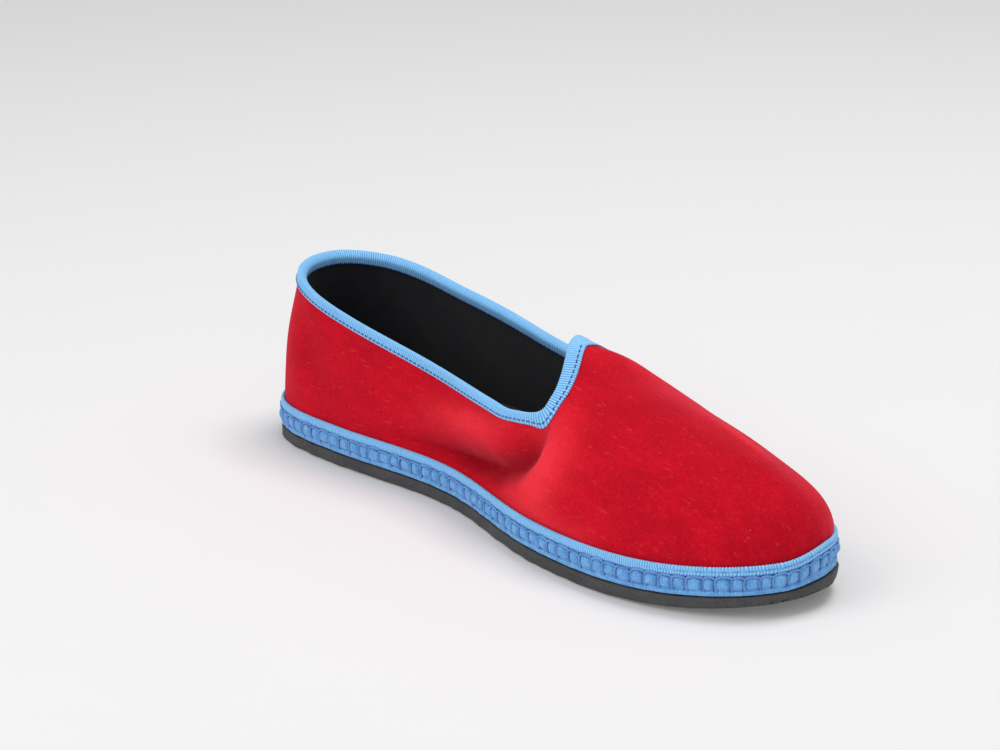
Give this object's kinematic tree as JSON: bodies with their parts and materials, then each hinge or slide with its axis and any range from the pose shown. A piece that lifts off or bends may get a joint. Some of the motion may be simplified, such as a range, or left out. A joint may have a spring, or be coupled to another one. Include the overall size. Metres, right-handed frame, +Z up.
{
  "type": "furlane slipper",
  "caption": "Soft red velvet slipper for the left foot, with a peaked vamp, blue ribbon trim, a layered cloth midsole and a flat tyre-rubber outsole.",
  "frame": {"origin": "middle of the sole's footprint box, on the floor", "axes": "+X from heel to toe, +Y to the outer side of the left foot, +Z up"},
  "size_m": [0.273, 0.0902, 0.071],
  "materials": {
    "velvet": "short velvet nap",
    "ribbon": "ribbed ribbon",
    "edge_cloth": "plain cloth",
    "lining": "plain black cloth",
    "rubber": "satin charcoal"
  },
  "bodies": {
    "root": {"outsole": "rubber", "midsole": "edge_cloth", "edge_tape": "ribbon", "insole": "lining", "upper": "velvet", "collar_binding": "ribbon"}
  },
  "joints": []
}
